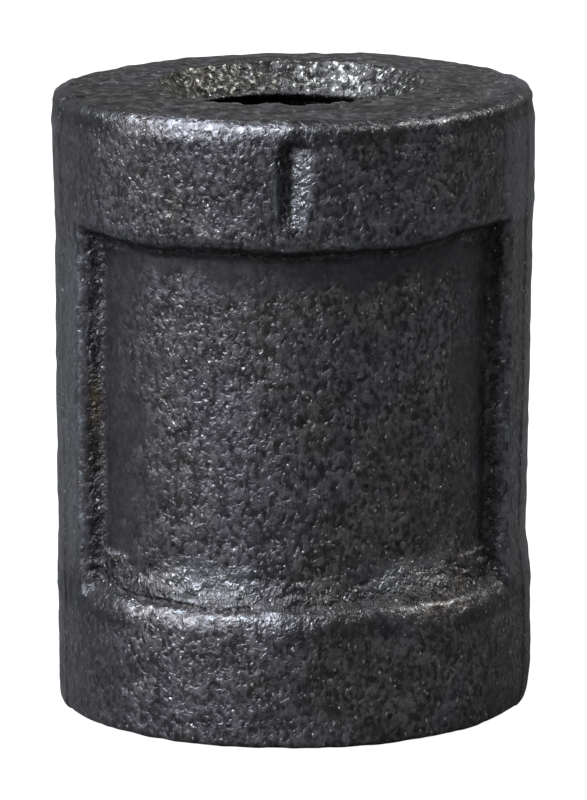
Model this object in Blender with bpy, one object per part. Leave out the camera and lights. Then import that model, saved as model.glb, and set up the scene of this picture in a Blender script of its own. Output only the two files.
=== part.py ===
"""Reducing pipe coupling, 1/4 x 1/8 inch NPT, as one black malleable-iron casting tapped from both ends.

The casting stands on its larger end. Z is the bore axis, with the origin at the centre of the lower end face,
and the parting plane of the mould is XZ, so the ribs left between the two windows stand at -X and +X.
"""

import math

import bmesh
import bpy

MM = 0.001

# Casting, outside
HEIGHT = 25.4 * MM
BAND_RADIUS = 9.7 * MM
BODY_RADIUS = 8.75 * MM
RIB_HALF_WIDTH = 4.1 * MM
RIB_FILLET = 0.55 * MM

# Foot and head of each window: a rounded lip on the band, a crease, and a fillet into the body.
# Each has the heights of the lip, crease and end of the fillet, and how far the lip falls away inwards.
LEDGE = {"lip": 4.60 * MM, "crease": 5.55 * MM, "foot": 6.60 * MM, "fall": 0.42 * MM}
LINTEL = {"lip": 20.70 * MM, "crease": 20.15 * MM, "foot": 19.50 * MM, "fall": 0.28 * MM}

# End faces: the upper one is crowned around its mouth, the lower one is flat
UPPER_LAND_RADIUS = 6.7 * MM
UPPER_CROWN_DROP = 0.18 * MM
UPPER_EDGE_ROUNDING = 0.6 * MM
LOWER_EDGE_ROUNDING = 0.3 * MM

# Land along the parting line
SEAM_HALF_WIDTH = 2.45 * MM
SEAM_PROUD = 0.08 * MM
SEAM_END_GAP = 0.75 * MM

# Tapered slot in the front of the upper band
NOTCH_CENTRE_X = 0.25 * MM
NOTCH_TOP = 24.6 * MM
NOTCH_BOTTOM = 21.2 * MM
NOTCH_TOP_RADIUS = 0.68 * MM
NOTCH_BOTTOM_RADIUS = 0.28 * MM
NOTCH_DEPTH = 0.4 * MM

# Taper pipe threads. The pitch diameter is the one at the mouth of the fitting.
TAPER_PER_SIDE = 1 / 32
THREAD_HEIGHT_IN_PITCHES = 0.8
FLANK_HALF_ANGLE = math.radians(30)
LARGE_THREAD = {"pitch": 25.4 / 18 * MM, "pitch_diameter": 12.487 * MM, "length": 8.13 * MM}
SMALL_THREAD = {"pitch": 25.4 / 27 * MM, "pitch_diameter": 9.489 * MM, "length": 6.35 * MM}
LARGE_MOUTH_RADIUS = 7.1 * MM
SMALL_MOUTH_RADIUS = 5.4 * MM

# Cored hole between the threads, with its conical shoulder
LARGE_CORE_RADIUS = 5.3 * MM
SMALL_CORE_RADIUS = 4.05 * MM
SHOULDER_LOW = 10.2 * MM
SHOULDER_HIGH = 12.2 * MM

TURNED_STEPS = 72
THREAD_STEPS = 36
WALL_STEPS = 24
ARC_STEPS = 4
LIP_STEPS = 3
CLEARANCE = 1.5 * MM
SURFACE_GAP = 0.03 * MM


def clear_scene():
    for thing in list(bpy.data.objects):
        bpy.data.objects.remove(thing, do_unlink=True)


def black_iron():
    material = bpy.data.materials.new("black_malleable_iron")
    material.use_nodes = True
    shader = material.node_tree.nodes["Principled BSDF"]
    shader.inputs["Base Color"].default_value = (0.045, 0.044, 0.05, 1.0)
    shader.inputs["Roughness"].default_value = 0.55
    shader.inputs["Metallic"].default_value = 0.6
    return material


def add_object(name, mesh):
    thing = bpy.data.objects.new(name, mesh)
    bpy.context.scene.collection.objects.link(thing)
    return thing


def object_from_bmesh(name, shape):
    bmesh.ops.recalc_face_normals(shape, faces=shape.faces)
    mesh = bpy.data.meshes.new(name)
    shape.to_mesh(mesh)
    shape.free()
    return add_object(name, mesh)


def arc(centre, radius, start_deg, end_deg, steps=ARC_STEPS):
    """Points on a circle of the given radius, both ends included."""
    angles = [math.radians(start_deg + (end_deg - start_deg) * i / steps) for i in range(steps + 1)]
    return [(centre[0] + radius * math.cos(a), centre[1] + radius * math.sin(a)) for a in angles]


def turned(name, outline, steps):
    """Ring of revolution about Z from a closed outline of (radius, height) points."""
    shape = bmesh.new()
    points = [shape.verts.new((radius, 0.0, height)) for radius, height in outline]
    edges = [shape.edges.new((a, b)) for a, b in zip(points, points[1:] + points[:1])]
    bmesh.ops.spin(shape, geom=points + edges, axis=(0, 0, 1), cent=(0, 0, 0), angle=math.tau,
                   steps=steps, use_merge=True)
    return object_from_bmesh(name, shape)


def loft(levels):
    """Closed bmesh through outlines of (x, y) points, given as (height, outline) with equal counts."""
    shape = bmesh.new()
    rings = [[shape.verts.new((x, y, height)) for x, y in outline] for height, outline in levels]
    shape.faces.new(rings[0])
    shape.faces.new(rings[-1][::-1])
    for lower, upper in zip(rings, rings[1:]):
        for i in range(len(lower)):
            j = (i + 1) % len(lower)
            shape.faces.new((lower[i], upper[i], upper[j], lower[j]))
    return shape


def minor_radius(thread):
    """Radius over the crests of the internal thread, at the mouth."""
    return thread["pitch_diameter"] / 2 - THREAD_HEIGHT_IN_PITCHES * thread["pitch"] / 2


def casting_outline():
    """Closed section of the turned blank, from the lower mouth round the outside and back down the bore."""
    large_minor = minor_radius(LARGE_THREAD)
    small_minor = minor_radius(SMALL_THREAD)
    edge_height = HEIGHT - UPPER_CROWN_DROP
    lower_edge = arc((BAND_RADIUS - LOWER_EDGE_ROUNDING, LOWER_EDGE_ROUNDING), LOWER_EDGE_ROUNDING, -90, 0)
    upper_edge = arc((BAND_RADIUS - UPPER_EDGE_ROUNDING, edge_height - UPPER_EDGE_ROUNDING),
                     UPPER_EDGE_ROUNDING, 0, 90)
    return (
        [(LARGE_MOUTH_RADIUS, 0.0)]
        + lower_edge
        + upper_edge
        + [(UPPER_LAND_RADIUS, HEIGHT), (SMALL_MOUTH_RADIUS, HEIGHT)]
        + [(small_minor, HEIGHT - (SMALL_MOUTH_RADIUS - small_minor))]
        + [(SMALL_CORE_RADIUS, edge_height - CLEARANCE)]
        + [(SMALL_CORE_RADIUS, SHOULDER_HIGH), (LARGE_CORE_RADIUS, SHOULDER_LOW)]
        + [(LARGE_CORE_RADIUS, 2 * CLEARANCE), (large_minor, LARGE_MOUTH_RADIUS - large_minor)]
    )


def edge_profile(edge):
    """(height, radius) points from just outside the band over the lip to the crease and the fillet's foot."""
    crease_radius = BAND_RADIUS - edge["fall"]
    turns = [math.pi / 2 * i / (LIP_STEPS + 1) for i in range(1, LIP_STEPS + 1)]
    lip = [(edge["lip"] + (edge["crease"] - edge["lip"]) * math.sin(a),
            BAND_RADIUS - edge["fall"] * (1 - math.cos(a))) for a in turns]
    fillet = [(edge["foot"] + (edge["crease"] - edge["foot"]) * math.sin(a),
               BODY_RADIUS + (crease_radius - BODY_RADIUS) * (1 - math.cos(a))) for a in reversed(turns)]
    start = (edge["lip"], BAND_RADIUS + SURFACE_GAP)
    return [start] + lip + [(edge["crease"], crease_radius)] + fillet + [(edge["foot"], BODY_RADIUS)]


def window_outline(radius):
    """Outline in front of a wall of this radius, between the ribs, with a fillet at the foot of each."""
    corner = math.degrees(math.asin(RIB_HALF_WIDTH / radius))
    inset = corner + math.degrees(RIB_FILLET / radius)
    wall = arc((0, 0), radius, 180 + inset, 360 - inset, steps=WALL_STEPS)
    corner_x = radius * math.cos(math.radians(corner))
    controls = (wall[-1], (corner_x, -RIB_HALF_WIDTH), (corner_x + RIB_FILLET, -RIB_HALF_WIDTH))
    fillet = []
    for t in (i / ARC_STEPS for i in range(1, ARC_STEPS + 1)):
        weights = ((1 - t) ** 2, 2 * t * (1 - t), t**2)
        fillet.append(tuple(sum(w * point[axis] for w, point in zip(weights, controls)) for axis in (0, 1)))
    beyond = BAND_RADIUS + 2 * CLEARANCE
    sides = [(beyond, -RIB_HALF_WIDTH), (beyond, -beyond), (-beyond, -beyond), (-beyond, -RIB_HALF_WIDTH)]
    return wall + fillet + sides + [(-x, y) for x, y in reversed(fillet)]


def window_cutter(name):
    """Region in front of the front window: outside the body, between the bands and between the ribs."""
    profile = edge_profile(LEDGE) + edge_profile(LINTEL)[::-1]
    return object_from_bmesh(name, loft([(height, window_outline(radius)) for height, radius in profile]))


def notch_cutter():
    """Slot with round ends, wider at its top, run in from the front along Y."""
    top_centre = (0.0, NOTCH_TOP - NOTCH_TOP_RADIUS)
    bottom_centre = (0.0, NOTCH_BOTTOM + NOTCH_BOTTOM_RADIUS)
    outline = arc(top_centre, NOTCH_TOP_RADIUS, 0, 180, steps=8)
    outline += arc(bottom_centre, NOTCH_BOTTOM_RADIUS, 180, 360, steps=6)
    shape = loft([(BAND_RADIUS - NOTCH_DEPTH, outline), (BAND_RADIUS + CLEARANCE, outline)])
    cutter = object_from_bmesh("notch_cutter", shape)
    cutter.rotation_euler.x = math.pi / 2
    cutter.location.x = NOTCH_CENTRE_X
    return cutter


def seam_land(name):
    """Strip along the parting line at +X, a little proud of the bands and ribs."""
    radius = BAND_RADIUS + SEAM_PROUD
    half_deg = math.degrees(math.asin(SEAM_HALF_WIDTH / radius))
    outline = arc((0, 0), radius, -half_deg, half_deg, steps=6)
    inner = BODY_RADIUS - CLEARANCE
    outline += [(inner, SEAM_HALF_WIDTH), (inner, -SEAM_HALF_WIDTH)]
    shape = loft([(LOWER_EDGE_ROUNDING, outline), (HEIGHT - SEAM_END_GAP, outline)])
    return object_from_bmesh(name, shape)


def tap(name, thread):
    """Closed plug of the tapered thread's shape. Its mouth is at z = 0 and it runs in towards +Z.

    Each pitch has three rows of points: both ends of the crest flat, then the root. A row climbs one pitch a
    turn, so the last column joins the first one three rows higher.
    """
    pitch = thread["pitch"]
    height = THREAD_HEIGHT_IN_PITCHES * pitch
    crest_flat = 1 - 2 * THREAD_HEIGHT_IN_PITCHES * math.tan(FLANK_HALF_ANGLE)
    rows_in_pitch = ((0.0, 0.0), (crest_flat, 0.0), ((1 + crest_flat) / 2, height))
    rows_per_turn = len(rows_in_pitch)
    low = -CLEARANCE - pitch
    turns = math.ceil((thread["length"] - low) / pitch) - 1
    rows = turns * rows_per_turn + 1

    def point(column, row):
        turn, place = divmod(row, rows_per_turn)
        offset, rise = rows_in_pitch[place]
        z = low + pitch * (turn + offset + column / THREAD_STEPS)
        radius = minor_radius(thread) - z * TAPER_PER_SIDE + rise
        angle = math.tau * column / THREAD_STEPS
        return (radius * math.cos(angle), radius * math.sin(angle), z)

    def at(column, row):
        return column * rows + row

    points = [point(column, row) for column in range(THREAD_STEPS) for row in range(rows)]
    last = THREAD_STEPS - 1
    faces = [
        (at(c, r), at(c + 1, r), at(c + 1, r + 1), at(c, r + 1)) for c in range(last) for r in range(rows - 1)
    ]
    faces += [
        (at(last, r), at(0, r + rows_per_turn), at(0, r + rows_per_turn + 1), at(last, r + 1))
        for r in range(rows - rows_per_turn - 1)
    ]
    mouth_loop = [at(c, 0) for c in range(THREAD_STEPS)] + [at(0, r) for r in range(rows_per_turn, 0, -1)]
    inner_loop = [at(c, rows - 1) for c in range(THREAD_STEPS)]
    inner_loop += [at(last, rows - 1 - r) for r in range(1, rows_per_turn + 1)]
    for loop in (mouth_loop, inner_loop):
        points.append((0.0, 0.0, sum(points[i][2] for i in loop) / len(loop)))
        centre = len(points) - 1
        faces += [(a, b, centre) for a, b in zip(loop, loop[1:] + loop[:1])]

    shape = bmesh.new()
    verts = [shape.verts.new(p) for p in points]
    for face in faces:
        shape.faces.new([verts[i] for i in face])
    return object_from_bmesh(name, shape)


def combine(target, tool, operation):
    """Adds an exact Boolean to the target and hides its tool."""
    boolean = target.modifiers.new(tool.name, "BOOLEAN")
    boolean.operation = operation
    boolean.object = tool
    boolean.solver = "EXACT"
    tool.hide_render = True
    tool.display_type = "WIRE"


def build_casting():
    casting = turned("coupling_casting", casting_outline(), TURNED_STEPS)
    casting.data.materials.append(black_iron())

    right_land = seam_land("seam_land_right")
    left_land = add_object("seam_land_left", right_land.data)
    left_land.rotation_euler.z = math.pi
    front_window = window_cutter("front_window_cutter")
    back_window = window_cutter("back_window_cutter")
    back_window.rotation_euler.z = math.pi
    large_tap = tap("large_tap", LARGE_THREAD)
    small_tap = tap("small_tap", SMALL_THREAD)
    small_tap.rotation_euler.x = math.pi
    small_tap.location.z = HEIGHT

    for land in (right_land, left_land):
        combine(casting, land, "UNION")
    for cutter in (front_window, back_window, notch_cutter(), large_tap, small_tap):
        combine(casting, cutter, "DIFFERENCE")
    casting.data.shade_smooth()
    casting.data.set_sharp_from_angle(angle=math.radians(35))


clear_scene()
build_casting()
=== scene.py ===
import math

import bpy
import numpy as np
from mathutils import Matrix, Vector


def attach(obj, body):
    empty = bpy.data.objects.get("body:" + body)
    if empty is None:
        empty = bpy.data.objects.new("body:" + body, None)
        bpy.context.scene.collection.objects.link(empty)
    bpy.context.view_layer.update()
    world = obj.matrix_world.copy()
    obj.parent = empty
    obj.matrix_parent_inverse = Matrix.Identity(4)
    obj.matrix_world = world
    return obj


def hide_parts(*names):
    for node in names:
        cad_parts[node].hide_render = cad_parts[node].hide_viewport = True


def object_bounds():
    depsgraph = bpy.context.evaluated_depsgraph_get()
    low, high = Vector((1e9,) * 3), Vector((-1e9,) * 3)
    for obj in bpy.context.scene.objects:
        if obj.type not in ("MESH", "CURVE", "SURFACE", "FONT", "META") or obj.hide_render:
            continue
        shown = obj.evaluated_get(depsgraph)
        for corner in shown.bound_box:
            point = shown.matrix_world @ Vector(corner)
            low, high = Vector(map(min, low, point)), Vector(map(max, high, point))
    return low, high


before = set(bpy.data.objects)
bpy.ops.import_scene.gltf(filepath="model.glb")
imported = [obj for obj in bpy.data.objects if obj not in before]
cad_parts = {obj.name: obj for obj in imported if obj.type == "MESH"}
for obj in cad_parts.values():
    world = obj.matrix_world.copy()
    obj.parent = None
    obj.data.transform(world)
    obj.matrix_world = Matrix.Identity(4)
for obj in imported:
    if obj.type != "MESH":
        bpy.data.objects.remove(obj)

# Looks of a black malleable-iron reducing coupling. The CAD gives the envelope; one dense closed skin stands
# for the casting, with its rounded edges, sand-cast grain, parting lines and two taper threads.

MM = 0.001
CAD_LOW, CAD_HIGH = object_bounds()
HEIGHT = CAD_HIGH.z - CAD_LOW.z
BAND_RADIUS = (CAD_HIGH.y - CAD_LOW.y) / 2

# Outside of the casting. The window's ledge and lintel are each a rounded lip, a crease and a fillet.
BODY_RADIUS = BAND_RADIUS - 0.95 * MM
RIB_HALF_WIDTH, RIB_HALF_WIDTH_SKEW = 4.12 * MM, 0.12 * MM
LEDGE_LIP, LEDGE_CREASE, LEDGE_FOOT = 4.55 * MM, 5.55 * MM, 6.95 * MM
LEDGE_LIP_DROP = 0.42 * MM
LINTEL_LIP, LINTEL_CREASE, LINTEL_FOOT = 20.70 * MM, 20.15 * MM, 19.50 * MM
LINTEL_LIP_DROP = 0.28 * MM
LINTEL_RISE = 0.3 * MM
RIB_FOOT_FILLET = 0.45 * MM
RIB_EDGE_ROUNDING = 0.32 * MM
WINDOW_CORNER_FILLET = 0.6 * MM
UPPER_EDGE_WIDTH, UPPER_EDGE_DEPTH = 0.7 * MM, 0.5 * MM
UPPER_RIM_LIFT = 0.05 * MM
LOWER_EDGE_ROUNDING = 0.3 * MM
UPPER_CROWN_DROP, UPPER_CROWN_TILT, UPPER_CROWN_LEAN = 0.170 * MM, 0.160 * MM, 0.060 * MM
UPPER_LAND_RADIUS = 6.7 * MM
SEAM_HALF_WIDTH, SEAM_PROUD, SEAM_SOFTNESS = 2.45 * MM, 0.06 * MM, 0.06 * MM
PAD_PROUD = 0.05 * MM
FOLD_DEPTH, FOLD_HALF_WIDTH = 0.18 * MM, 0.11 * MM
UPPER_EDGE_WEAR, LOWER_EDGE_WEAR = 0.013, 0.019

# Slot in the front of the upper band: a groove with a shorter left flank, round at its head and fading at its
# foot. Left and right edges are given at the foot and at the head.
NOTCH_LOW, NOTCH_HIGH = 20.95 * MM, 24.68 * MM
NOTCH_LEFT, NOTCH_RIGHT = (-0.62 * MM, -0.80 * MM), (0.42 * MM, 1.30 * MM)
NOTCH_VALLEY = -0.12 * MM
NOTCH_DEPTH = 0.40 * MM

# Threads, as pitch, radius over the crests at the mouth, and length
LARGE_PITCH, LARGE_MINOR, LARGE_LENGTH = 25.4 / 18 * MM, 5.679 * MM, 8.13 * MM
SMALL_PITCH, SMALL_MINOR, SMALL_LENGTH = 25.4 / 27 * MM, 4.368 * MM, 6.35 * MM
THREAD_HEIGHT_IN_PITCHES = 0.8
CREST_FLAT_IN_PITCHES, FLANKS_IN_PITCHES = 0.1, 0.82
TAPER_PER_SIDE = 1 / 32
LARGE_MOUTH, SMALL_MOUTH = 7.1 * MM, 5.4 * MM
SMALL_MOUTH_SLOPE = 0.90
LARGE_CORE, SMALL_CORE = 5.3 * MM, 4.05 * MM
SHOULDER_LOW, SHOULDER_HIGH = 10.2 * MM, 12.2 * MM

# The rough countersink ends about here, and the first turn of the small thread only shows below it
COUNTERSINK_DEPTHS = (1.06 * MM, 1.2 * MM)
FIRST_TURN_DEPTHS, FIRST_TURN_SHARE = (1.2 * MM, 1.5 * MM), 0.08

# Draft of the mould from its parting line: the sideways step and the width at a few heights
DRAFT_HEIGHTS = np.array([0, 2, 5, 7, 13, 19, 21, 24, 24.85, 25.3]) * MM
DRAFT_SIDEWAYS = np.array([0.06, 0.06, 0.065, -0.02, 0.03, 0.13, 0.10, 0.08, 0.05, 0.06]) * MM
DRAFT_WIDTH = np.array([0.986, 0.987, 0.989, 0.977, 0.985, 0.991, 0.995, 1.0, 0.991, 1.001])

# Stretches of skin, each as start, full, fading and end, in degrees from the front (-Y) towards +X
LIFTED_RIM = (-75, -50, 0, 15)
WORN_UPPER_EDGE = (-72, -45, -12, 8)
FOLD_IN_FRONT, FOLD_BEHIND = (-56, -44, -14, -5), (125, 138, 160, 170)
PAD = (60, 62, 100, 110)
# The front's edges where the lamps light them; outside these stretches the edges get painted shade
UNSHADED_EDGE_LEFT, UNSHADED_EDGE_RIGHT = (-48, -41, -6, 1), (24, 30, 41, 46)
# Stretch of the ledge's lip whose worn ridge gets more painted highlight
GLINTING_LIP = (22, 28, 40, 46)
# Coarser skin that is also painted lighter as glints
COARSE_GLINT_LEFT, COARSE_GLINT_RIGHT = (-38, -30, -14, -8), (20, 27, 42, 48)
# Stretch of the front window's corner with less painted shade, where the light falls in
LESS_SHADED_CORNER = (-38, -28, -10, -4)
RIB_EDGE = (-80, -74, -67, -64)
STAIN = (-80, -70, -60, -55)

# The same for heights
LEDGE_LIP_HEIGHTS = (4.3 * MM, 4.6 * MM, 5.6 * MM, 5.8 * MM)
ROUGH_LIP_HEIGHTS = (4.6 * MM, 4.9 * MM, 5.5 * MM, 5.8 * MM)
FOLDED_HEIGHTS = (5.0 * MM, 5.6 * MM, 6.6 * MM, 7.6 * MM)
COARSE_GLINT_HEIGHTS = (5.7 * MM, 6.1 * MM, 6.8 * MM, 7.6 * MM)
RIB_EDGE_HEIGHTS = (6.0 * MM, 7.5 * MM, 18.5 * MM, 20.0 * MM)

# Middle and half width of the rust stain, up the rib, and of the pocket of painted shade in the mouth, in
# degrees
STAIN_HEIGHT = (13.2 * MM, 0.9 * MM)
POCKET = (118, 11)

# Camera: its place in band radii from the foot of the bore, how far it looks down and turns, and its lens
CAMERA_PLACE = (0.006, -36.86, 8.866)
CAMERA_DOWN, CAMERA_TURN = 11.65, -0.28
CAMERA_LENS, CAMERA_SENSOR = 403.2, 36.0

# Ground, and the white that only the camera sees
FLOOR_HALF_WIDTH = 6.0
BACKDROP_GLOW = 0.97


def smoothstep(low, high, value):
    t = np.clip((value - low) / (high - low), 0.0, 1.0)
    return t * t * (3 - 2 * t)


def plateau(value, start, full, fading, end):
    """1 between full and fading, and 0 before start and after end."""
    return smoothstep(start, full, value) * (1 - smoothstep(fading, end, value))


def bell(value, middle, half_width):
    return np.exp(-(((value - middle) / half_width) ** 2))


def smooth_max(a, b, width):
    h = np.clip(width - np.abs(a - b), 0.0, None) / width
    return np.maximum(a, b) + h * h * width / 4


def smooth_min(a, b, width):
    return -smooth_max(-a, -b, width)


def spaced(low, high, base, fine_zones=()):
    """Values from low to high, base apart, and closer inside each (start, end, spacing) zone."""
    t = np.linspace(low, high, 6001)
    density = np.full_like(t, 1 / base)
    for start, end, spacing in fine_zones:
        soft = 0.15 * (end - start)
        inside = smoothstep(start - soft, start, t) * (1 - smoothstep(end, end + soft, t))
        density = np.maximum(density, inside / spacing)
    total = np.concatenate([[0.0], np.cumsum((density[1:] + density[:-1]) / 2 * np.diff(t))])
    count = int(math.ceil(total[-1]))
    return np.interp(np.linspace(0, total[-1], count + 1), total, t)


def lattice_noise(points, size, seed):
    """Smooth noise between -1 and 1 over a random lattice with the given cell size."""
    count = 32
    table = np.random.default_rng(seed).uniform(-1, 1, (count, count, count))
    scaled = points / size + 100.0
    cell = np.floor(scaled).astype(int)
    part = scaled - cell
    part = part * part * (3 - 2 * part)
    value = np.zeros(points.shape[:-1])
    for dx in (0, 1):
        wx = part[..., 0] if dx else 1 - part[..., 0]
        for dy in (0, 1):
            wy = part[..., 1] if dy else 1 - part[..., 1]
            for dz in (0, 1):
                wz = part[..., 2] if dz else 1 - part[..., 2]
                corner = (cell + (dx, dy, dz)) % count
                value += wx * wy * wz * table[corner[..., 0], corner[..., 1], corner[..., 2]]
    return value


# ---------------------------------------------------------------- shape


def column_angles():
    """Angles round the bore from the front (-Y) towards +X, closer together at the slot, ribs and strips."""
    slot = (-5, 9, 0.33)
    rib_edges = ((62.5, 69.5, 0.33), (110.5, 117.5, 0.33))
    strip_edges = ((73.5, 77.5, 0.5), (102.5, 106.5, 0.5))
    right = rib_edges + strip_edges
    left = [(-end, -start, spacing) for start, end, spacing in right]
    return np.radians(spaced(-180, 180, 0.95, [slot, *left, *right])[:-1])


def quarter(t, curl=0.93):
    """Quarter of an ellipse from 0 at t = 0, where it is level, to 1 at t = 1, where it is nearly upright."""
    t = np.clip(t, 0.0, 1.0)
    return (1 - np.sqrt(1 - (curl * t) ** 2)) / (1 - math.sqrt(1 - curl**2))


def lip_and_fillet(z, lip, crease, foot, drop):
    """Radius from the band's edge down to the body, as z goes from the lip by way of the crease to the foot.

    Past the foot it goes on falling, below the body, so that it takes no part in the blend there.
    """
    outer = BAND_RADIUS - drop * quarter((z - lip) / (crease - lip))
    inner = BODY_RADIUS + (BAND_RADIUS - drop - BODY_RADIUS) * quarter((foot - z) / (foot - crease))
    inner = inner - 1.5 * np.clip((z - foot) * np.sign(foot - crease), 0, None)
    return np.where((z - crease) * (foot - crease) > 0, inner, outer)


def crease_fold(angle, z):
    """Fold of skin along the ledge's crease, in the left part of each window as seen from outside."""
    degrees = np.degrees(np.arctan2(np.sin(angle), np.cos(angle)))
    at = np.stack([BAND_RADIUS * np.sin(angle), BAND_RADIUS * np.cos(angle), z], -1)
    along = plateau(degrees, *FOLD_IN_FRONT) + plateau(degrees, *FOLD_BEHIND)
    line = LEDGE_CREASE + 0.10 * MM * lattice_noise(at, 0.9 * MM, 23)
    return along * bell(z, line, FOLD_HALF_WIDTH)


def window_wall(angle, z):
    """Radius of the outside with its two windows, rounded and a little wavy where the real casting is."""
    x, forward = np.sin(angle), np.abs(np.cos(angle))
    at = np.stack([BAND_RADIUS * x, BAND_RADIUS * np.cos(angle), z], -1)
    wobble = 0.09 * MM * lattice_noise(at, 2.2 * MM, 21) + 0.05 * MM * lattice_noise(at, 0.8 * MM, 22)
    rib = (RIB_HALF_WIDTH - RIB_HALF_WIDTH_SKEW * x + wobble) / np.maximum(forward, 0.05)
    ledge = lip_and_fillet(z + wobble, LEDGE_LIP, LEDGE_CREASE, LEDGE_FOOT, LEDGE_LIP_DROP)
    rise = LINTEL_RISE * smoothstep(0.45, 0.75, x)
    lintel = lip_and_fillet(z + wobble - rise, LINTEL_LIP, LINTEL_CREASE, LINTEL_FOOT, LINTEL_LIP_DROP)
    rib = smooth_min(rib, np.full_like(rib, BAND_RADIUS), RIB_EDGE_ROUNDING)
    floor = smooth_max(np.full_like(rib, BODY_RADIUS), rib, RIB_FOOT_FILLET)
    corner = 0.02 * MM + WINDOW_CORNER_FILLET * smoothstep(0.72, 0.84, np.abs(x))
    radius = np.minimum(smooth_max(floor, smooth_max(ledge, lintel, 0.05 * MM), corner), BAND_RADIUS)
    return radius - FOLD_DEPTH * crease_fold(angle, z)


def notch_depth(x, z):
    """Depth of the slot at a place on the front."""
    t = np.clip((z - NOTCH_LOW) / (NOTCH_HIGH - NOTCH_LOW), 0, 1)
    left = NOTCH_LEFT[0] + t * (NOTCH_LEFT[1] - NOTCH_LEFT[0])
    right = NOTCH_RIGHT[0] + t * (NOTCH_RIGHT[1] - NOTCH_RIGHT[0])
    right_flank = np.clip((right - x) / (right - NOTCH_VALLEY), 0, None) ** 1.2
    depth = smooth_min((x - left) / (NOTCH_VALLEY - left), right_flank, 0.10)
    head = NOTCH_HIGH - 0.30 * MM * ((x - 0.1 * MM) / (0.7 * MM)) ** 2
    depth = smooth_min(depth, (head - z) / (0.30 * MM), 0.3)
    depth = smooth_min(depth, (z - NOTCH_LOW) / (1.6 * MM), 0.3)
    return NOTCH_DEPTH * np.clip(depth, 0, 1)


def thread_groove(turns, pitch):
    """Depth of the 60 degree groove at a place counted in turns, with a crest flat and a small root flat."""
    phase = 1 - np.abs(2 * (turns % 1.0) - 1)
    share = np.clip((phase - CREST_FLAT_IN_PITCHES) / FLANKS_IN_PITCHES, 0, 1)
    return THREAD_HEIGHT_IN_PITCHES * pitch * share


def bore_wall(angle, z):
    """Radius of the bore: cored hole, threads and mouths. The last turn of each thread runs out."""
    turn = (angle - math.pi / 2) / math.tau
    core = np.interp(z, [SHOULDER_LOW, SHOULDER_HIGH], [LARGE_CORE, SMALL_CORE])
    depth = HEIGHT - z
    fade = 1 - smoothstep(SMALL_LENGTH - SMALL_PITCH, SMALL_LENGTH, depth)
    fade = fade * (FIRST_TURN_SHARE + (1 - FIRST_TURN_SHARE) * smoothstep(*FIRST_TURN_DEPTHS, depth))
    groove = thread_groove(depth / SMALL_PITCH + turn + 0.5, SMALL_PITCH)
    small = SMALL_MINOR - depth * TAPER_PER_SIDE + groove * fade
    small = np.where(depth < SMALL_LENGTH + 0.2 * MM, small, 0)
    fade = 1 - smoothstep(LARGE_LENGTH - LARGE_PITCH, LARGE_LENGTH, z)
    groove = thread_groove(z / LARGE_PITCH - turn, LARGE_PITCH)
    large = LARGE_MINOR - z * TAPER_PER_SIDE + groove * fade
    large = np.where(z < LARGE_LENGTH + 0.2 * MM, large, 0)
    mouths = smooth_max(np.maximum(SMALL_MOUTH - SMALL_MOUTH_SLOPE * depth, LARGE_MOUTH - z), core, 0.1 * MM)
    return np.maximum.reduce([core, small, large, mouths])


def casting_rows():
    """Points of the closed section as (zone, radius, height): up the outside and back down the bore."""
    lower_land = BAND_RADIUS - LOWER_EDGE_ROUNDING
    rows = [("lower_face", r, 0.0) for r in spaced(LARGE_MOUTH, lower_land, 0.17 * MM)[:-1]]
    for a in np.radians(spaced(-90, 0, 13)[:-1]):
        rows.append(("lower_edge", BAND_RADIUS + LOWER_EDGE_ROUNDING * (math.cos(a) - 1),
                     LOWER_EDGE_ROUNDING * (1 + math.sin(a))))
    edge_height = HEIGHT - UPPER_EDGE_DEPTH
    fine = [(LEDGE_LIP, LEDGE_FOOT, 0.06 * MM), (LINTEL_FOOT, LINTEL_LIP + LINTEL_RISE, 0.07 * MM)]
    rows += [("wall", BAND_RADIUS, z) for z in spaced(LOWER_EDGE_ROUNDING, edge_height, 0.16 * MM, fine)[:-1]]
    for a in np.radians(spaced(0, 90, 7)[:-1]):
        rows.append(("upper_edge", BAND_RADIUS + UPPER_EDGE_WIDTH * (math.cos(a) - 1),
                     edge_height + UPPER_EDGE_DEPTH * math.sin(a)))
    upper_land = BAND_RADIUS - UPPER_EDGE_WIDTH
    rows += [("upper_face", -r, HEIGHT) for r in spaced(-upper_land, -SMALL_MOUTH, 0.16 * MM)[:-1]]
    fine = [(0, 1.7 * MM, 0.05 * MM), (0, SMALL_LENGTH, 0.065 * MM)]
    fine.append((HEIGHT - LARGE_LENGTH, HEIGHT, 0.095 * MM))
    rows += [("bore", 0.0, HEIGHT - d) for d in spaced(0, HEIGHT, 0.3 * MM, fine)[:-1]]
    return rows


class Section:
    """The section turned round the bore, before draft and wear: a row per point and a column per angle."""

    def __init__(self):
        rows = casting_rows()
        self.zone = np.array([row[0] for row in rows])[:, None]
        level = 0 * column_angles()[None, :]
        self.radius = np.array([row[1] for row in rows])[:, None] + level
        self.z = np.array([row[2] for row in rows])[:, None] + level
        self.angle = column_angles()[None, :] + 0 * self.z
        self.wall, self.bore = self.zone == "wall", self.zone == "bore"
        for in_zone, radius in ((self.wall[:, 0], window_wall), (self.bore[:, 0], bore_wall)):
            self.radius[in_zone] = radius(self.angle[in_zone], self.z[in_zone])
        self.x, self.y = self.radius * np.sin(self.angle), -self.radius * np.cos(self.angle)
        self.depth = HEIGHT - self.z
        self.degrees = np.degrees(np.arctan2(self.x, -self.y))
        outside = np.isin(self.zone, ["wall", "upper_edge", "lower_edge"])
        rim = smoothstep(7.6 * MM, 9.1 * MM, self.radius)
        self.outside = np.where(self.zone == "upper_face", rim, outside)
        self.groove = notch_depth(self.x, self.z) * ((self.y < 0) & (self.outside > 0))
        self.pad = plateau(self.degrees, *PAD) * self.outside * smoothstep(LINTEL_CREASE, LINTEL_LIP, self.z)


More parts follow.
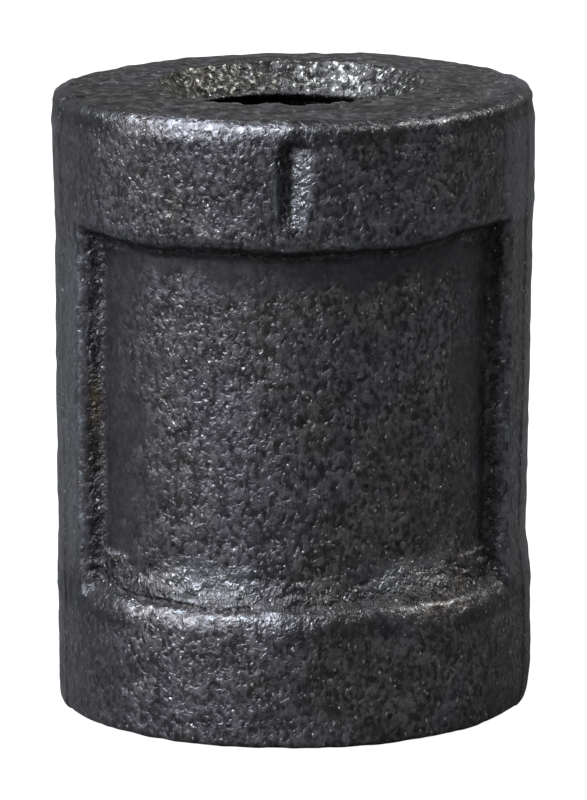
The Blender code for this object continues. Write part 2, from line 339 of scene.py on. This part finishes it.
def grid_normals(points):
    along = np.roll(points, -1, 0) - np.roll(points, 1, 0)
    across = np.roll(points, -1, 1) - np.roll(points, 1, 1)
    normals = np.cross(across, along)
    return normals / np.maximum(np.linalg.norm(normals, axis=-1, keepdims=True), 1e-15)


def convexity(points, normals):
    """Mean curvature over the grid, positive on ridges, evened out over a few points."""
    total = np.zeros(points.shape[:2])
    for axis in (0, 1):
        ahead, behind = np.roll(points, -1, axis) - points, np.roll(points, 1, axis) - points
        la, lb = np.linalg.norm(ahead, axis=-1), np.linalg.norm(behind, axis=-1)
        bend = 2 * (ahead / la[..., None] + behind / lb[..., None]) / (la + lb)[..., None]
        total -= (bend * normals).sum(-1)
    for _ in range(3):
        for axis in (0, 1):
            total = (np.roll(total, 1, axis) + 2 * total + np.roll(total, -1, axis)) / 4
    return total


def lean_upper_face(points, section):
    """Crowns the upper face, leans it back and a little sideways, and lifts its rim at the front left."""
    lift = plateau(section.degrees, *LIFTED_RIM) * smoothstep(7.6 * MM, 9.0 * MM, section.radius)
    crown = smoothstep(UPPER_LAND_RADIUS - 0.6 * MM, BAND_RADIUS, section.radius)
    lean = UPPER_CROWN_LEAN * section.x / BAND_RADIUS * smoothstep(0, 0.5 * BAND_RADIUS, section.y)
    tilt = UPPER_CROWN_TILT * section.y / BAND_RADIUS
    fall = (UPPER_CROWN_DROP + tilt - lean) * crown - UPPER_RIM_LIFT * lift
    points[..., 2] -= fall * smoothstep(24.0 * MM, 24.8 * MM, section.z)


def draft_and_wear(points, section):
    """Draft of the mould, and the upper edge made rounder by wear at the front and the lower edge on the
    right.
    """
    z = section.z
    skin = smoothstep(5.5 * MM, 8.0 * MM, section.radius) * ~section.bore
    width = 1 + (np.interp(z, DRAFT_HEIGHTS, DRAFT_WIDTH) - 1) * skin
    points[..., 0] = points[..., 0] * width + np.interp(z, DRAFT_HEIGHTS, DRAFT_SIDEWAYS) * skin
    front = plateau(section.degrees, *WORN_UPPER_EDGE) * smoothstep(24.5 * MM, 25.15 * MM, z)
    points[..., :2] *= (1 - UPPER_EDGE_WEAR * front * skin)[..., None]
    right = smoothstep(0.25, 0.9, points[..., 0] / BAND_RADIUS) * (1 - smoothstep(0, 2.0 * MM, z)) ** 2
    points[..., :2] *= (1 - LOWER_EDGE_WEAR * right * skin)[..., None]


def cast_unevenness(points, section, cored, countersink):
    """Height of the sand-cast waves, coarser in the countersink, on the upper rim and on the ledge's lip."""
    amounts = {"wall": 1.0, "upper_edge": 0.9, "lower_edge": 0.9, "upper_face": 0.8, "lower_face": 0.3}
    amount = np.array([amounts.get(zone, 0.25) for zone in section.zone[:, 0]])[:, None]
    amount = np.maximum(amount, np.maximum(cored, 1.3 * countersink) * section.bore)
    rough = smoothstep(24.3 * MM, 24.9 * MM, section.z) * smoothstep(8.0 * MM, 9.2 * MM, section.radius)
    rough += 1.2 * countersink + plateau(section.z, *ROUGH_LIP_HEIGHTS) * section.wall
    waves = 0.030 * MM * lattice_noise(points, 3.6 * MM, 11)
    waves += (0.024 + 0.016 * rough) * MM * lattice_noise(points, 1.2 * MM, 12)
    waves += (0.024 + 0.018 * rough) * MM * lattice_noise(points, 0.48 * MM, 13)
    waves += 0.05 * MM * countersink * lattice_noise(points, 0.26 * MM, 15)
    folds = lattice_noise(points * np.array([0.55, 0.55, 1.0]), 0.27 * MM, 16)
    folds *= plateau(section.z, *FOLDED_HEIGHTS) * section.wall * (section.radius < BAND_RADIUS - 0.2 * MM)
    waves += 0.055 * MM * folds
    return waves * amount


def skin_masks(points, section, cored, countersink, ragged):
    """Where the material differs: cut metal, end face, stains, calmer and coarser skin, painted light and
    sooty painted shade.
    """
    z, radius, degrees, wall, bore = section.z, section.radius, section.degrees, section.wall, section.bore
    machined = (0.25 + 0.75 * countersink) * bore * (1 - cored)

    # Painted shade, standing partly for soot: in the window's corners, along the fold, in the slot's left
    # side and head, and in the small thread and a pocket of the mouth
    corner = smoothstep(0.02 * MM, 0.25 * MM, radius - BODY_RADIUS) * wall
    corner *= 1 - smoothstep(9.25 * MM, 9.40 * MM, radius)
    soot_and_shade = corner * (1 - 0.35 * plateau(degrees, *LESS_SHADED_CORNER))
    in_thread = (1 - smoothstep(7 * MM, 9 * MM, section.depth)) * smoothstep(*COUNTERSINK_DEPTHS, ragged)
    pocket = bell(degrees, *POCKET) * smoothstep(0.38 * MM, 0.62 * MM, ragged)
    soot_and_shade = np.maximum(soot_and_shade, bore * np.maximum(in_thread, pocket * (section.depth < SMALL_LENGTH)))
    soot_and_shade = np.maximum(soot_and_shade, 0.9 * crease_fold(section.angle, z) * wall)
    notch_head = smoothstep(NOTCH_HIGH - 0.40 * MM, NOTCH_HIGH - 0.25 * MM, z)
    notch_shade = 0.75 * smoothstep(0.01 * MM, 0.06 * MM, section.groove)
    soot_and_shade = np.maximum(soot_and_shade, notch_shade * np.maximum(section.x < NOTCH_VALLEY, notch_head))

    # Calm skin beside the ribs, under the upper band and on the sides of both bands: smoother, and darkened
    # with painted shade
    drift = 0.7 * MM * lattice_noise(points, 1.4 * MM, 17) + 0.5 * MM * lattice_noise(points, 0.5 * MM, 18)
    side = np.abs(points[..., 0]) + drift
    beside_rib = smoothstep(4.9 * MM, 6.9 * MM, np.where(points[..., 0] < 0, side, side - 1.0 * MM))
    calm_and_shaded = np.maximum(beside_rib, smoothstep(18.4 * MM, 19.3 * MM, z + drift)) * wall
    calm_and_shaded *= 1 - smoothstep(0.02 * MM, 0.1 * MM, radius - BODY_RADIUS - 0.01 * MM)
    band_side = smoothstep(6.6 * MM, 8.0 * MM, side) * (radius > BAND_RADIUS - 0.4 * MM) * (section.y < 0)
    calm_and_shaded = np.maximum(calm_and_shaded, np.where(section.x < 0, 0.5, 0.2) * band_side)

    # Coarse skin, also painted lighter as glints, on the slot's right flank, in two patches above the ledge
    # and on the left rib's edge
    flank = smoothstep(0.03 * MM, 0.10 * MM, section.groove) * (1 - notch_head)
    flank *= smoothstep(NOTCH_VALLEY, NOTCH_VALLEY + 0.1 * MM, section.x)
    patches = 0.7 * plateau(degrees, *COARSE_GLINT_LEFT) + 1.5 * plateau(degrees, *COARSE_GLINT_RIGHT)
    patches *= plateau(z, *COARSE_GLINT_HEIGHTS) * wall
    rib_edge = plateau(degrees, *RIB_EDGE) * plateau(z, *RIB_EDGE_HEIGHTS)
    rib_edge *= (radius > BAND_RADIUS - 0.4 * MM) * wall
    coarse_and_glint = np.maximum.reduce([flank, patches, 0.45 * rib_edge])

    # Painted shade on the front's edges away from the lit stretches, and a rust stain beside the left rib
    lip = plateau(z, *LEDGE_LIP_HEIGHTS) * wall
    rim = smoothstep(24.3 * MM, 24.6 * MM, z) * smoothstep(8.7 * MM, 9.0 * MM, radius)
    unshaded_edge = plateau(degrees, *UNSHADED_EDGE_LEFT) + plateau(degrees, *UNSHADED_EDGE_RIGHT)
    painted_edge_shade = (1 - unshaded_edge) * np.maximum(lip, rim) * (np.abs(degrees) < 90)
    stain = corner * plateau(degrees, *STAIN) * bell(z, *STAIN_HEIGHT)
    face = (section.zone == "upper_face") * (1 - 0.3 * points[..., 0] / BAND_RADIUS)
    # The pad goes to the material as pale: painted paler and bluer, as light from the right
    return {"machined": machined, "soot_and_shade": soot_and_shade, "face": face, "calm_and_shaded": calm_and_shaded, "pale": section.pad,
            "coarse_and_glint": coarse_and_glint, "stain": stain, "painted_edge_shade": painted_edge_shade}


def add_curvature_masks(points, masks):
    """Worn ridges plus painted highlight, most on the lip's right and least on the rim's right, and hollows
    with sooty painted shade.
    """
    curvature = convexity(points, grid_normals(points))
    x, y, z = points[..., 0], points[..., 1], points[..., 2]
    degrees = np.degrees(np.arctan2(x, -y))
    right_rim = smoothstep(-0.5 * MM, 2.0 * MM, x) * smoothstep(24.0 * MM, 24.5 * MM, z)
    right_lip = plateau(degrees, *GLINTING_LIP) * (z < 8.0 * MM)
    ridge_wear_and_highlight = smoothstep(500, 3200, curvature) * smoothstep(0.1 * MM, 1.0 * MM, z)
    ridge_wear_and_highlight *= smoothstep(5.8 * MM, 6.3 * MM, np.hypot(x, y))
    # Painted highlight: stronger on the right of the ledge's lip, weaker on the right of the rim
    masks["ridge_wear_and_highlight"] = ridge_wear_and_highlight * (1 - 0.5 * right_rim + 0.7 * right_lip)
    # Painted shade in concave places, joined with the painted shade and soot from the masks
    masks["sooty_shaded_hollows"] = np.maximum(smoothstep(400, 2500, -curvature), masks.pop("soot_and_shade"))


def casting_points():
    """Grid of surface points, and the masks that the material uses."""
    section = Section()
    points = np.stack([section.x, section.y, section.z], -1)
    lean_upper_face(points, section)
    seam = 1 - smoothstep(SEAM_HALF_WIDTH - SEAM_SOFTNESS, SEAM_HALF_WIDTH + SEAM_SOFTNESS, np.abs(section.y))
    rise = SEAM_PROUD * seam * section.outside - section.groove + PAD_PROUD * section.pad
    points = points + grid_normals(points) * rise[..., None]
    draft_and_wear(points, section)

    cored = smoothstep(SMALL_LENGTH, SMALL_LENGTH + MM, section.depth)
    cored = cored * smoothstep(LARGE_LENGTH, LARGE_LENGTH + MM, section.z)
    ragged = section.depth + 0.16 * MM * lattice_noise(points, 0.7 * MM, 14)
    countersink = (1 - smoothstep(*COUNTERSINK_DEPTHS, ragged)) * section.bore
    points = points + grid_normals(points) * cast_unevenness(points, section, cored, countersink)[..., None]
    points[..., 2] = np.maximum(points[..., 2], 0.0)
    masks = skin_masks(points, section, cored, countersink, ragged)
    add_curvature_masks(points, masks)
    return points, masks


def skin_mesh(points, masks):
    """Closed mesh over a grid that joins up both ways, with its masks as point attributes."""
    rows, columns = points.shape[:2]
    index = np.arange(rows * columns).reshape(rows, columns)
    right, up = np.roll(index, -1, 1), np.roll(index, -1, 0)
    quads = np.stack([index, right, np.roll(right, -1, 0), up], -1).reshape(-1, 4)
    mesh = bpy.data.meshes.new("casting_skin")
    mesh.vertices.add(rows * columns)
    mesh.vertices.foreach_set("co", points.astype(np.float32).ravel())
    mesh.loops.add(quads.size)
    mesh.loops.foreach_set("vertex_index", quads.astype(np.int32).ravel())
    mesh.polygons.add(len(quads))
    mesh.polygons.foreach_set("loop_start", np.arange(0, quads.size, 4, dtype=np.int32))
    mesh.update(calc_edges=True)
    mesh.validate()
    mesh.shade_smooth()
    for name, values in masks.items():
        layer = mesh.attributes.new(name, "FLOAT", "POINT")
        layer.data.foreach_set("value", values.astype(np.float32).ravel())
    return mesh


def make_casting():
    casting = bpy.data.objects.new("coupling_casting_skin", skin_mesh(*casting_points()))
    bpy.context.scene.collection.objects.link(casting)
    return casting


# ---------------------------------------------------------------- material


class Nodes:
    """Short names for making and joining a material's nodes."""

    def __init__(self, name):
        self.material = bpy.data.materials.new(name)
        self.material.use_nodes = True
        self.tree = self.material.node_tree
        self.shader = self.tree.nodes["Principled BSDF"]

    def add(self, kind, values=(), **settings):
        node = self.tree.nodes.new("ShaderNode" + kind)
        for key, value in settings.items():
            setattr(node, key, value)
        for key, value in dict(values).items():
            self.give(node.inputs[key], value)
        return node

    def give(self, socket, value):
        if isinstance(value, bpy.types.NodeSocket):
            self.tree.links.new(value, socket)
        else:
            socket.default_value = value

    def math(self, operation, a, b=0.0, clamp=False):
        return self.add("Math", {0: a, 1: b}, operation=operation, use_clamp=clamp).outputs[0]

    def times(self, a, b):
        return self.math("MULTIPLY", a, b)

    def plus(self, a, b):
        return self.math("ADD", a, b)

    def minus(self, a, b):
        return self.math("SUBTRACT", a, b)

    def ramp(self, value, low, high, to_low=0.0, to_high=1.0):
        node = self.add("MapRange", {"Value": value, "From Min": low, "From Max": high,
                                     "To Min": to_low, "To Max": to_high}, interpolation_type="SMOOTHSTEP")
        return node.outputs["Result"]

    def mix(self, factor, a, b):
        """Mix of two colours, which are the node's inputs 6 and 7 and its output 2."""
        return self.add("Mix", {0: factor, 6: a, 7: b}, data_type="RGBA").outputs[2]

    def attribute(self, name):
        return self.add("Attribute", attribute_name=name).outputs["Fac"]

    def noise(self, vector, size, detail=2.0, roughness=0.5, output="Fac"):
        return self.add("TexNoise", {"Vector": vector, "Scale": 1 / size, "Detail": detail,
                                     "Roughness": roughness}).outputs[output]

    def scattered(self, vector, size, rarity):
        """Soft round spots in the few cells whose random value passes the rarity."""
        cell = self.add("TexVoronoi", {"Vector": vector, "Scale": 1 / size}, feature="F1")
        chance = self.add("SeparateColor", {"Color": cell.outputs["Color"]}).outputs["Red"]
        chosen = self.ramp(chance, rarity, rarity + 0.02)
        return self.times(chosen, self.ramp(cell.outputs["Distance"], 0.50, 0.15))

    def link(self, value, socket):
        self.tree.links.new(value, self.shader.inputs[socket])


def grain_place(n, face):
    """Object coordinates, squeezed so that the grain is longer up and down, and coarser on the end face."""
    place = n.add("TexCoord").outputs["Object"]
    stretch = n.mix(n.math("MINIMUM", face, 1.0), (0.97, 0.97, 0.80, 1), (0.62, 0.50, 0.80, 1))
    return n.add("VectorMath", {0: place, 1: stretch}, operation="MULTIPLY").outputs[0]


def warped(n, place):
    """The same coordinates, pushed about so that no grain is a plain round cell."""
    warp = n.noise(place, 0.40 * MM, 3.0, output="Color")
    push = n.add("VectorMath", {0: warp, 3: 0.30 * MM}, operation="SCALE").outputs[0]
    return n.add("VectorMath", {0: place, 1: push}).outputs[0]


def black_iron():
    n = Nodes("black_malleable_iron")
    machined, ridge_wear_and_highlight, sooty_shaded_hollows, face, calm_and_shaded, pale, coarse_and_glint, stain, painted_edge_shade = (
        n.attribute(name)
        for name in ("machined", "ridge_wear_and_highlight", "sooty_shaded_hollows", "face", "calm_and_shaded", "pale", "coarse_and_glint", "stain", "painted_edge_shade")
    )
    place = grain_place(n, face)
    moved = warped(n, place)

    # Height of the sand grain: crinkles, crumbs of a few sizes and single pits, fading where the skin is calm
    hills = n.noise(moved, 0.60 * MM, 3.0, 0.62)
    crinkle = n.ramp(n.math("ABSOLUTE", n.minus(n.noise(moved, 0.42 * MM, 2.0, 0.55), 0.5)), 0.0, 0.12)
    mottle = n.ramp(n.noise(moved, 0.21 * MM, 2.0, 0.52), 0.32, 0.68)
    cluster = n.ramp(n.noise(place, 0.9 * MM, 2.0, 0.5), 0.35, 0.65)
    quiet = n.minus(1.0, n.times(calm_and_shaded, 0.85))
    crumbs = n.times(n.scattered(moved, 0.32 * MM, 0.84), quiet)
    # Specks: bare-iron tips, and bright as painted glints
    glint_specks = n.times(n.scattered(moved, 0.145 * MM, 0.925), quiet)
    # Pits: dips in the grain, painted dark as shade
    shaded_pits = n.times(n.scattered(moved, 0.30 * MM, 0.94), quiet)
    height = n.plus(n.times(crinkle, 0.12), n.times(hills, 1.05))
    for part, amount in ((mottle, 0.26), (crumbs, 0.28), (glint_specks, 0.16), (shaded_pits, -0.22)):
        height = n.plus(height, n.times(part, amount))
    lively = n.plus(quiet, n.times(n.plus(face, n.plus(sooty_shaded_hollows, coarse_and_glint)), 0.9))
    height = n.times(n.minus(height, 0.73), lively)
    top = n.times(n.plus(n.ramp(height, -0.26, 0.24), mottle), 0.5)
    top = n.times(top, n.plus(n.times(cluster, 0.5), 0.75))

    # Colour: purplish-black oxide and browner patches, lighter on the grain's tops and darker in its valleys
    # as painted shade, then each further tint over it with its amount
    patch = n.noise(place, 3.5 * MM, 3.0, 0.55)
    purple = n.mix(top, (0.027, 0.025, 0.028, 1), (0.129, 0.120, 0.133, 1))
    brown = n.mix(top, (0.027, 0.024, 0.024, 1), (0.124, 0.111, 0.112, 1))
    colour = n.mix(n.ramp(patch, 0.40, 0.62), purple, brown)
    rust = n.times(n.ramp(n.noise(place, 1.1 * MM, 5.0, 0.65), 0.62, 0.72), n.ramp(patch, 0.5, 0.62))
    streaked = n.times(face, n.ramp(n.noise(place, 0.42 * MM, 3.0, 0.6), 0.38, 0.62))
    bright = n.times(machined, n.ramp(n.noise(place, 0.22 * MM, 2.0, 0.6), 0.52, 0.68))
    wear_and_painted_highlight = n.times(ridge_wear_and_highlight, n.ramp(n.noise(place, 0.40 * MM, 4.0, 0.66), 0.45, 0.57))
    stained = n.times(stain, n.ramp(n.noise(place, 0.5 * MM, 3.0, 0.6), 0.40, 0.60))
    tints = (
        (rust, 0.35, (0.12, 0.07, 0.035, 1)),
        # painted shade on the calmer skin
        (calm_and_shaded, 0.7, (0.045, 0.040, 0.046, 1)),
        # painted light: the pad paler and bluer, as lit from the right
        (pale, 0.45, (0.135, 0.135, 0.155, 1)),
        # coarser skin painted lighter as glints
        (n.math("MINIMUM", coarse_and_glint, 1.0), 0.5, (0.21, 0.21, 0.22, 1)),
        (crumbs, 0.40, (0.17, 0.165, 0.175, 1)),
        # painted shade in the pits
        (shaded_pits, 0.7, (0.010, 0.010, 0.011, 1)),
        (streaked, 0.75, (0.016, 0.015, 0.017, 1)),
        (machined, 0.75, (0.022, 0.020, 0.018, 1)),
        (bright, 0.85, (0.26, 0.26, 0.24, 1)),
        # wear on the ridges, with painted highlight
        (wear_and_painted_highlight, 0.6, (0.18, 0.19, 0.205, 1)),
        # painted shade, partly soot, in hollows and corners
        (sooty_shaded_hollows, 0.70, (0.012, 0.011, 0.011, 1)),
        (stained, 0.6, (0.085, 0.062, 0.034, 1)),
        # painted shade on the front's edges away from the light
        (painted_edge_shade, 0.62, (0.024, 0.023, 0.024, 1)),
        # bright specks: bare iron, also painted as glints
        (glint_specks, 0.62, (0.44, 0.435, 0.43, 1)),
    )
    for where, amount, tint in tints:
        colour = n.mix(n.times(where, amount), colour, tint)
    n.link(colour, "Base Color")

    rough = n.ramp(n.noise(place, 0.30 * MM, 2.0, 0.6), 0.30, 0.70, 0.36, 0.50)
    rough = n.minus(rough, n.times(wear_and_painted_highlight, 0.06))
    rough = n.math("ADD", rough, n.times(sooty_shaded_hollows, 0.10), clamp=True)
    n.link(rough, "Roughness")
    n.shader.inputs["Metallic"].default_value = 0.9
    n.shader.inputs["IOR"].default_value = 1.5
    bump = n.add("Bump", {"Height": height, "Strength": 1.0, "Distance": 0.08 * MM})
    n.link(bump.outputs["Normal"], "Normal")
    return n.material


def add_glow(tree, shader_output, strength):
    """Adds light that only the camera sees, so a pale ground shows white but lights the object softly."""
    path = tree.nodes.new("ShaderNodeLightPath")
    glow = tree.nodes.new("ShaderNodeEmission")
    power = tree.nodes.new("ShaderNodeMath")
    power.operation = "MULTIPLY"
    power.inputs[1].default_value = strength
    tree.links.new(path.outputs["Is Camera Ray"], power.inputs[0])
    tree.links.new(power.outputs[0], glow.inputs["Strength"])
    both = tree.nodes.new("ShaderNodeAddShader")
    tree.links.new(shader_output, both.inputs[0])
    tree.links.new(glow.outputs[0], both.inputs[1])
    return both.outputs[0]


def pale_floor():
    n = Nodes("pale_floor")
    place = n.add("TexCoord").outputs["Object"]
    shade = n.mix(n.noise(place, 60 * MM, 3.0), (0.095, 0.095, 0.095, 1), (0.105, 0.105, 0.105, 1))
    n.link(shade, "Base Color")
    n.shader.inputs["Roughness"].default_value = 0.8
    n.shader.inputs["Specular IOR Level"].default_value = 0.1
    out = n.tree.nodes["Material Output"]
    n.tree.links.new(add_glow(n.tree, n.shader.outputs[0], BACKDROP_GLOW), out.inputs["Surface"])
    return n.material


# ---------------------------------------------------------------- stage


def make_camera():
    """Long lens from a little above, aimed as the object is seen."""
    data = bpy.data.cameras.new("camera")
    data.lens = CAMERA_LENS
    data.sensor_width = CAMERA_SENSOR
    data.clip_start, data.clip_end = 0.05, 20.0
    camera = bpy.data.objects.new("camera", data)
    camera.location = [BAND_RADIUS * share for share in CAMERA_PLACE]
    camera.rotation_mode = "ZYX"
    camera.rotation_euler = (math.radians(90 - CAMERA_DOWN), 0.0, math.radians(CAMERA_TURN))
    bpy.context.scene.collection.objects.link(camera)
    bpy.context.scene.camera = camera


def make_light(name, azimuth, elevation, distance, size, power, colour):
    """Area light aimed at the middle of the object. Azimuth is counted from the front towards +X."""
    data = bpy.data.lights.new(name, "AREA")
    data.shape = "RECTANGLE"
    data.size, data.size_y = size
    data.energy = power
    data.color = colour
    light = bpy.data.objects.new(name, data)
    a, e = math.radians(azimuth), math.radians(elevation)
    aim = Vector((0.0, 0.0, HEIGHT / 2))
    away = Vector((math.sin(a) * math.cos(e), -math.cos(a) * math.cos(e), math.sin(e)))
    light.location = aim + distance * away
    light.rotation_euler = away.to_track_quat("Z", "Y").to_euler()
    bpy.context.scene.collection.objects.link(light)


def make_floor():
    mesh = bpy.data.meshes.new("floor")
    half = FLOOR_HALF_WIDTH
    corners = [(-half, -half, 0), (half, -half, 0), (half, half, 0), (-half, half, 0)]
    mesh.from_pydata(corners, [], [(0, 1, 2, 3)])
    floor = bpy.data.objects.new("floor", mesh)
    floor.location.z = CAD_LOW.z - 0.02 * MM
    floor.data.materials.append(pale_floor())
    bpy.context.scene.collection.objects.link(floor)


def make_world():
    """Soft light all round, stronger from the horizon than from above, in front of a white backdrop."""
    world = bpy.data.worlds.new("studio")
    world.use_nodes = True
    nodes, links = world.node_tree.nodes, world.node_tree.links
    sky = nodes["Background"]
    split = nodes.new("ShaderNodeSeparateXYZ")
    fade = nodes.new("ShaderNodeMapRange")
    fade.inputs["From Min"].default_value, fade.inputs["From Max"].default_value = 0.15, 0.7
    fade.inputs["To Min"].default_value, fade.inputs["To Max"].default_value = 0.30, 0.07
    links.new(nodes.new("ShaderNodeTexCoord").outputs["Generated"], split.inputs[0])
    links.new(split.outputs["Z"], fade.inputs["Value"])
    links.new(fade.outputs["Result"], sky.inputs["Strength"])
    sky.inputs["Color"].default_value = (1.0, 1.0, 1.0, 1.0)
    glow = add_glow(world.node_tree, sky.outputs[0], BACKDROP_GLOW)
    links.new(glow, nodes["World Output"].inputs["Surface"])
    bpy.context.scene.world = world


make_camera()
make_floor()
make_world()
make_light("key_left", azimuth=-60, elevation=48, distance=0.5, size=(0.46, 0.58), power=11.3,
           colour=(0.86, 0.935, 1.0))
make_light("fill_right", azimuth=102, elevation=45, distance=0.5, size=(0.12, 0.14), power=2.03,
           colour=(0.98, 1.0, 0.93))
bpy.context.scene.view_settings.view_transform = "Standard"

casting = make_casting()
casting.data.materials.append(black_iron())
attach(casting, "root")
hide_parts("coupling_casting")
